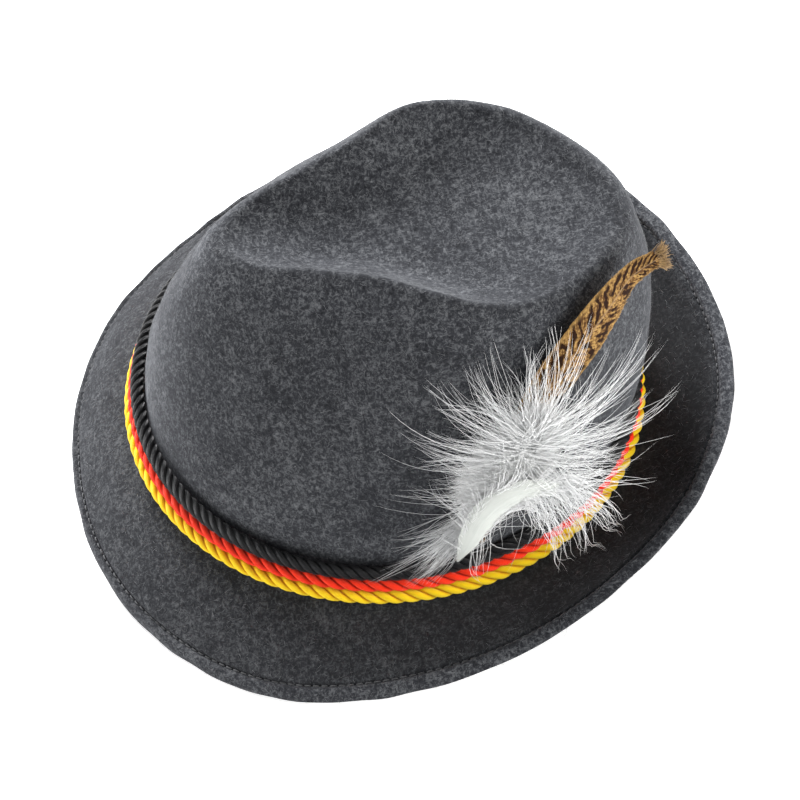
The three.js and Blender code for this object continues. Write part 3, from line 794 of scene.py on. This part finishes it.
# A strand goes from its start to its tip and arches off the crown on the way as half a
# sine. It sways by half a wave, and its tip hooks over as a power of the way.
def strandLines(start, tip, sway, hook, arch, stations):
    s = np.linspace(0, 1, stations)
    line = start[:, None] + (tip - start)[:, None] * s[:, None]
    wave = np.sin(np.pi * s)[None]
    late = (s ** 2.5)[None]
    angle = line[..., 0] + wave * sway[:, :1] * 0.5 + late * hook[:, :1] * 0.5
    height = line[..., 1] + wave * sway[:, 1:] * 0.8 + late * hook[:, 1:] * 0.8
    rise = arch[:, None] * np.sin(np.pi * s ** 0.8)
    return toRest(overTheHat(angle, height, line[..., 2] + rise))


# Long strands lie in clumps whose tips meet, middling ones fill between them, and a few
# stray ones go their own way. Their starts are spread over the middle of the plume.
def addFluff(paint):
    look = fluffLook
    rng = np.random.default_rng(look["seed"])
    table = np.array(bundles)
    odds = table[:, 6] / table[:, 6].sum()
    clumps = len(table) * look["clumps"]
    long = clumps * look["perClump"]
    middling, stray = look["middling"], look["stray"]
    count = long + middling + stray
    families = clumps + middling + stray
    family = np.concatenate([np.repeat(np.arange(clumps), look["perClump"]), np.arange(clumps, families)])
    pick = rng.choice(len(table), families, p=odds)
    wide = np.repeat((1.0, 1.3, 2.0), (clumps, middling, stray))[:, None]
    away = rng.normal(size=(families, 3)) * look["tipSpread"] * wide
    reach = np.concatenate([
        rng.uniform(0.58, 1.1, clumps),
        0.22 + 0.48 * rng.power(1.2, middling),
        rng.uniform(0.5, 0.98, stray),
    ])
    sway = rng.normal(size=(families, 2)) * look["wander"] * wide ** 0.5
    hook = rng.normal(size=(families, 2)) * look["wander"] * 1.5
    first, last = table[pick, :3], table[pick, 3:6]
    root = first + (last - first) * rng.uniform(-0.22, 0.12, (families, 1))
    root[:, 2] = first[:, 2]
    root = root[family] + rng.normal(size=(count, 3)) * look["rootSpread"]
    end = (last + away)[family]
    start = first[family]
    overBrim = (last[:, 1] < 40) & (last[:, 0] > 100)
    reach = np.where(overBrim, reach * rng.uniform(0.35, 1.05, families), reach)
    reach = reach[family] + rng.normal(size=count) * 0.03
    tip = start + (end - start) * reach[:, None] + rng.normal(size=(count, 3)) * look["tipLoose"]
    sway = sway[family] + rng.normal(size=(count, 2)) * 1.3
    low = np.clip((start[:, 1] - 38) / 20, 0.2, 1)
    arch = look["arch"] * rng.uniform(0.1, 1.4, count) * low
    lines = strandLines(root, tip, sway, hook[family], arch, look["stations"])
    radius = np.where(np.arange(count) < long, look["longRadius"], look["middlingRadius"])
    radius = radius * rng.uniform(0.75, 1.2, count)
    return strandPiece("plumeStrands", lines, radius, look["taper"], paint, rng.uniform(0, 1, count))


# Points of the soft middle, from places along it and across it in a unit circle: its
# height off the felt is a half ball, with small lumps.
def heartPlace(along, across):
    shape = heartShape
    angle = shape["middle"][0] + along * shape["along"][0] + across * shape["across"][0]
    height = shape["middle"][1] + along * shape["along"][1] + across * shape["across"][1]
    ball = np.sqrt(np.clip(1 - along ** 2 - across ** 2, 0, 1))
    lumps = np.sin(9 * along + 2 * across) * np.sin(8 * across - 3 * along + 1) * shape["lumps"]
    return angle, height, shape["foot"] + (shape["rise"] + lumps) * ball


def addHeart(paint):
    reach = np.sin(np.linspace(0.06, 1, 22) * np.pi / 2)[:, None]
    way = np.linspace(0, 2 * np.pi, 72, endpoint=False)[None]
    reach = reach * (1 + 0.06 * np.sin(5 * way) * reach + 0.05 * np.sin(8 * way + 1) * reach) / 1.1
    angle, height, off = heartPlace(reach * np.cos(way), reach * np.sin(way))
    top = onWall(angle, height, off)[0]
    under = onWall(angle, height, np.full(off.shape, heartShape["foot"] * 0.8))[0]
    grid = toRest(np.concatenate([top, under[::-1]]))
    none = np.zeros(grid.shape[0] * grid.shape[1] + 2)
    return closedSkin("plumeHeart", grid, paint, attributes={"tone": none + 0.6, "run": none})


# Fine short down over the soft middle: it stands out of it and lies outwards.
def addUnderDown(paint):
    rng = np.random.default_rng(fluffLook["seed"] + 1)
    count = fluffLook["short"]
    reach = 1.08 * np.sqrt(rng.uniform(0, 1, count))
    way = rng.uniform(0, 2 * np.pi, count)
    along, across = reach * np.cos(way), reach * np.sin(way)
    start = np.stack(heartPlace(along, across), 1) - (0, 0, 0.8)
    start[:, 2] = np.maximum(start[:, 2], 2.0)
    turn = way + rng.normal(size=count) * 1.1
    length = rng.uniform(0.3, 0.9, count)
    far = np.stack(heartPlace(along + np.cos(turn) * length, across + np.sin(turn) * length), 1)
    tip = far.copy()
    tip[:, 2] = start[:, 2] + rng.uniform(-0.5, 4.5, count) - 3 * reach * length
    sway = rng.normal(size=(count, 2)) * 1.2
    hook = rng.normal(size=(count, 2)) * 1.5
    lines = strandLines(start, tip, sway, hook, rng.uniform(0, 2, count), 4)
    radius = fluffLook["shortRadius"] * rng.uniform(0.8, 1.5, count)
    return strandPiece("plumeUnderDown", lines, radius, fluffLook["taper"], paint, rng.uniform(0, 1, count))


# Blades: places up the crown as in the part's source, and a half width along them.
vaneTable = {
    "angle": (98.3, 99, 100.4, 103, 107, 112, 117, 121.5),
    "height": (24.5, 33, 43, 51, 55.5, 56, 52, 43.5),
    "off": (7.5, 10, 12.5, 14.5, 16, 17, 17, 16),
    "half": (0.1, 0.64, 0.95, 1.02, 0.94, 0.74, 0.46, 0.2),
}
featherTable = {
    "angle": (105, 107.5, 111, 117.5, 125.5, 134.8, 144.2, 153, 159.5, 163),
    "height": (23, 42, 62, 78.4, 87.2, 93.6, 98.3, 101, 101, 99.5),
    "off": (1.6, 1.8, 2.5, 3.5, 4.5, 5.5, 7, 9, 12.5, 16),
    "half": (0.09, 0.11, 0.32, 0.72, 0.95, 1, 0.86, 0.56, 0.4, 0.42),
}


# A blade's middle line with its side and its face direction, smooth through its places.
def bladeFrame(table, share):
    rows = np.array([table["angle"], table["height"], table["off"]], float)
    points, normals = onWall(rows[0], rows[1], rows[2])
    fine = np.linspace(0, 1, 400)
    line = smoothThrough(points, share)
    tangent = np.gradient(smoothThrough(points, fine), axis=0)
    tangent = unit(np.stack([np.interp(share, fine, tangent[:, k]) for k in range(3)], 1))
    side = unit(np.cross(tangent, smoothThrough(normals, share)))
    face = np.cross(side, tangent)
    return line, side, face, tangent


def bladeHalf(table, share):
    return np.interp(share, np.linspace(0, 1, len(table["half"])), table["half"])


# Lines that leave their roots straight on and bend aside as the square of the way.
def bentLines(root, way, side, long, bend, stations):
    s = np.linspace(0, 1, stations)
    lines = root[:, None] + way[:, None] * (long[:, None] * s)[..., None]
    return lines + side[:, None] * ((bend * long)[:, None] * s ** 2)[..., None]


# A thin closed blade: barbs as ripples across it, a raised shaft along its middle, a
# shallow arch from edge to edge, and small notches where the barbs part at its edges.
def bladeGrid(table, look):
    rng = np.random.default_rng(look["seed"])
    share = np.linspace(0, look["to"], look["rows"])
    line, side, face, _ = bladeFrame(table, share)
    half = look["halfWidth"] * bladeHalf(table, share)
    left, right = (
        half * np.interp(share, np.linspace(0, 1, 70), rng.uniform(1 - look["ragged"], 1, 70))
        for _ in range(2)
    )
    u = np.linspace(-1, 1, look["columns"])
    width = np.where(u[None] < 0, left[:, None], right[:, None])
    arch = look["arch"] * (1 - u[None] ** 2) * half[:, None]
    run = share[:, None] * look["length"] - np.abs(u)[None] * width * look["barbSlant"]
    ripple = look["ripple"] * np.sin(run * 2 * np.pi / look["barbPitch"]) * np.abs(u)[None]
    shaft = look["shaft"] * np.exp(-(u[None] * half[:, None] / 0.45) ** 2)
    lift = arch + ripple + shaft
    middle = line[:, None] + side[:, None] * (u[None] * width)[..., None] + face[:, None] * lift[..., None]
    edge = np.clip(1 - np.abs(u) ** 6, 0.12, 1)[None] * look["thickness"] / 2
    front = middle + face[:, None] * edge[..., None]
    back = middle - face[:, None] * edge[..., None]
    return np.concatenate([front, back[:, ::-1]], 1)


vaneLook = {
    "halfWidth": 6.0, "thickness": 0.7, "arch": 0.25, "ripple": 0.07, "barbPitch": 0.9, "barbSlant": 1.6,
    "length": 68, "shaft": 0.12, "ragged": 0.1, "to": 0.84, "rows": 150, "columns": 25, "seed": 5,
    "white": (0.41, 0.428, 0.405), "grey": (0.34, 0.357, 0.34), "fringe": 500,
}


def vanePaint():
    p = NodePaper("creamVane")
    place = p.add("ShaderNodeUVMap", uv_map="surfaceMap")
    stretched = p.add("ShaderNodeMapping", {"Vector": place, "Scale": (60.0, 7.0, 1.0)})
    barbs = p.noise(stretched, 1.0, 3.0)
    light = p.timesPlus(barbs, 0.6, p.times(p.noise(p.place(), 160.0, 3.0), 0.4))
    return p.wear({
        "Base Color": p.ramp(light, ((0.3, vaneLook["grey"]), (0.52, vaneLook["white"]))),
        "Roughness": 0.6, "Sheen Weight": 0.1,
        "Subsurface Weight": 0.2, "Subsurface Scale": 0.002, "Subsurface Radius": (1.0, 1.0, 1.0),
        "Normal": p.bump(barbs, 0.5, 0.0003),
    })


def addVane():
    return closedSkin("creamVane", toRest(bladeGrid(vaneTable, vaneLook)), vanePaint())


# Strands that leave the vane's two edges and its far end, swept along it. Each bends out
# to its own side, and sinks as the square of the way.
def addVaneFringe(paint):
    rng = np.random.default_rng(61)
    count = vaneLook["fringe"]
    share = np.sort(0.08 + 0.87 * rng.power(1.4, count))
    line, side, face, tangent = bladeFrame(vaneTable, share)
    half = vaneLook["halfWidth"] * bladeHalf(vaneTable, share)
    u = rng.uniform(-1, 1, count)
    u = np.where(share < 0.6, np.where(u < 0.4, -1, 1) * (0.6 + 0.4 * np.abs(u)), u)
    above = vaneLook["arch"] * (1 - u ** 2) * half + rng.uniform(-0.3, 0.6, count)
    root = line + side * (u * half)[:, None] + face * above[:, None]
    long = (3 + 13 * rng.uniform(0, 1, count) ** 1.5) * (0.45 + 0.95 * share)
    way = tangent + side * (u * 0.6 + rng.normal(size=count) * 0.38)[:, None]
    way = way + face * (rng.normal(size=count) * 0.2)[:, None]
    bend = u * rng.uniform(0.0, 0.5, count) + 0.3 * rng.normal(size=count)
    lines = bentLines(root, way, side, long, bend, 7)
    lines = lines - face[:, None] * ((0.25 * long)[:, None] * np.linspace(0, 1, 7) ** 2)[..., None]
    radius = rng.uniform(0.07, 0.125, count)
    return strandPiece("vaneFringe", toRest(lines), radius, 0.8, paint, rng.uniform(0, 1, count))


featherLook = {
    "halfWidth": 9.6, "thickness": 0.5, "arch": 0.1, "ripple": 0.1, "barbPitch": 0.8, "barbSlant": 1.0,
    "length": 118, "shaft": 0.3, "ragged": 0.05, "to": 0.97, "rows": 320, "columns": 33, "seed": 7,
    "brown": (0.052, 0.022, 0.0075), "tan": (0.15, 0.08, 0.025), "gold": (0.29, 0.178, 0.06),
    "bar": (0.013, 0.0045, 0.0016), "shaftColour": (0.24, 0.165, 0.1), "blotches": 25.0, "bars": 33.0,
    "barSlope": 0.075, "frayed": 300, "edgeBarbs": 90,
}


# The marks run along the blade and back with the distance from the shaft, as its barbs
# do: blotches on one side, thin broken bars on the other, both broken up by noise.
def featherPaint():
    look = featherLook
    black, white = (0, 0, 0), (1, 1, 1)
    p = NodePaper("barredFeather")
    u = p.value("across")
    place = p.place()
    wide = p.calc("ABSOLUTE", u)
    speck = p.noise(place, 900.0, 2.0)
    barbs = p.timesPlus(wide, -look["barSlope"], p.value("along"))
    fine = p.add("ShaderNodeCombineXYZ", {"X": p.times(barbs, 230.0), "Y": p.times(u, 3.0)})
    hair = p.noise(fine, 1.0, 2.0)
    shift = p.minus(p.noise(place, 150.0, 3.0), 0.5)
    uneven = p.minus(p.noise(place, 260.0, 2.0), 0.5)
    # blotches: a cosine along the half vane less the square of the distance from its middle
    spots = p.timesPlus(barbs, look["blotches"], p.times(shift, 2.2))
    spots = p.calc("COSINE", p.times(spots, 2 * math.pi))
    aside = p.calc("DIVIDE", p.minus(wide, 0.52), 0.5)
    spots = p.timesPlus(p.times(aside, aside), -1.5, spots)
    spots = p.timesPlus(uneven, 5.0, p.calc("ADD", spots, 0.45))
    bars = p.timesPlus(barbs, look["bars"], p.times(shift, 2.0))
    bars = p.calc("SINE", p.times(bars, 2 * math.pi))
    bars = p.timesPlus(uneven, 9.0, p.minus(p.times(bars, 0.7), 0.1))
    dark = p.timesPlus(p.calc("GREATER_THAN", u, 0.0), p.minus(bars, spots), spots)
    dark = p.timesPlus(p.minus(hair, 0.5), 2.4, dark)
    dark = p.timesPlus(p.minus(speck, 0.5), 2.0, dark)
    tint = p.timesPlus(speck, 0.5, p.times(hair, 0.5))
    ground = p.ramp(tint, ((0.42, look["brown"]), (0.5, look["tan"]), (0.58, look["gold"])))
    body = p.blend(p.ramp(dark, ((0.1, black), (0.65, white))), ground, (*look["bar"], 1))
    body = p.blend(p.times(p.ramp(wide, ((0.8, black), (0.96, white))), 0.4), body, (*look["gold"], 1))
    quill = p.times(p.ramp(wide, ((0.03, white), (0.07, black))), 0.4)
    return p.wear({
        "Base Color": p.blend(quill, body, (*look["shaftColour"], 1)),
        "Roughness": 0.65, "Specular IOR Level": 0.05, "Normal": p.bump(hair, 0.6, 0.0003),
    })


def addFeather():
    look = featherLook
    rows, columns = look["rows"], look["columns"]
    grid = bladeGrid(featherTable, look)
    u = np.concatenate([np.linspace(-1, 1, columns), np.linspace(1, -1, columns)])
    along = np.repeat(np.linspace(0, look["to"], rows), 2 * columns)
    places = {"across": np.append(np.tile(u, rows), [0, 0]), "along": np.append(along, [0, look["to"]])}
    return closedSkin("barredFeather", toRest(grid), featherPaint(), attributes=places)


def barbPaint():
    look = featherLook
    p = NodePaper("goldenBarbs")
    mixed = p.timesPlus(p.value("tone"), 0.35, p.times(p.noise(p.place(), 420.0, 2.0), 0.65))
    colour = p.ramp(mixed, ((0.28, look["bar"]), (0.4, look["tan"]), (0.62, look["gold"])))
    return p.wear({"Base Color": colour, "Roughness": 0.5, "Sheen Weight": 0.15})


# Loose barbs: a fan of them at the blade's frayed tip, and short ones along its edges.
def addBarbs():
    rng = np.random.default_rng(41)
    look = featherLook
    fan, edge = look["frayed"], look["edgeBarbs"]
    share = np.concatenate([rng.uniform(0.925, look["to"], fan), rng.uniform(0.3, 0.93, edge)])
    line, side, face, tangent = bladeFrame(featherTable, share)
    half = look["halfWidth"] * bladeHalf(featherTable, share)
    u = np.concatenate([rng.uniform(-0.95, 0.95, fan), np.where(rng.uniform(size=edge) < 0.5, -0.93, 0.93)])
    root = line + side * (u * half)[:, None] + face * rng.uniform(-0.1, 0.3, len(share))[:, None]
    lean = u[:fan] * 0.42 + rng.normal(size=fan) * 0.2
    lean = np.concatenate([lean, np.sign(u[fan:]) * rng.uniform(0.25, 0.5, edge)])
    long = np.concatenate([rng.uniform(2.0, 5.0, fan), rng.uniform(0.5, 1.6, edge)])
    lift = np.concatenate([rng.normal(size=fan) * 0.25 + 0.25, rng.normal(size=edge) * 0.12])
    way = unit(tangent + side * lean[:, None] + face * lift[:, None])
    bend = rng.normal(size=len(share)) * 0.18 + 0.12 * np.sign(lean)
    lines = bentLines(root, way, side, long, bend, 6)
    radius = np.concatenate([rng.uniform(0.12, 0.24, fan), rng.uniform(0.1, 0.18, edge)])
    tone = rng.uniform(0, 1, len(share))
    return strandPiece("featherBarbs", toRest(lines), radius, 0.8, barbPaint(), tone)


# Putting the hat together
felt, feltSurface = addFelt()
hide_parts("felt_body")
for piece in (felt, addStitches(), addHairs(feltSurface)):
    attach(piece, "root")
print("felt body made")

for colour in ("yellow", "red", "black"):
    rope = addCord(colour)
    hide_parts("cord_" + colour)
    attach(rope, "root")
print("three twisted cords made")

white = downPaint("whiteDown", fluffLook["white"], fluffLook["shadow"])
# the heart and the short down get a lighter copy of the down's paint: painted light against the shade the
# long strands cast on them
soft = downPaint("paintedLightDown", fluffLook["soft"], fluffLook["white"])
strands = addFluff(white)
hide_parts("plume_fluff")
for piece in (strands, addHeart(soft), addUnderDown(soft), addVaneFringe(white)):
    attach(piece, "root")
vane = addVane()
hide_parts("white_vane")
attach(vane, "root")
feather = addFeather()
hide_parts("barred_feather")
for piece in (feather, addBarbs()):
    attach(piece, "root")
print("plume made")
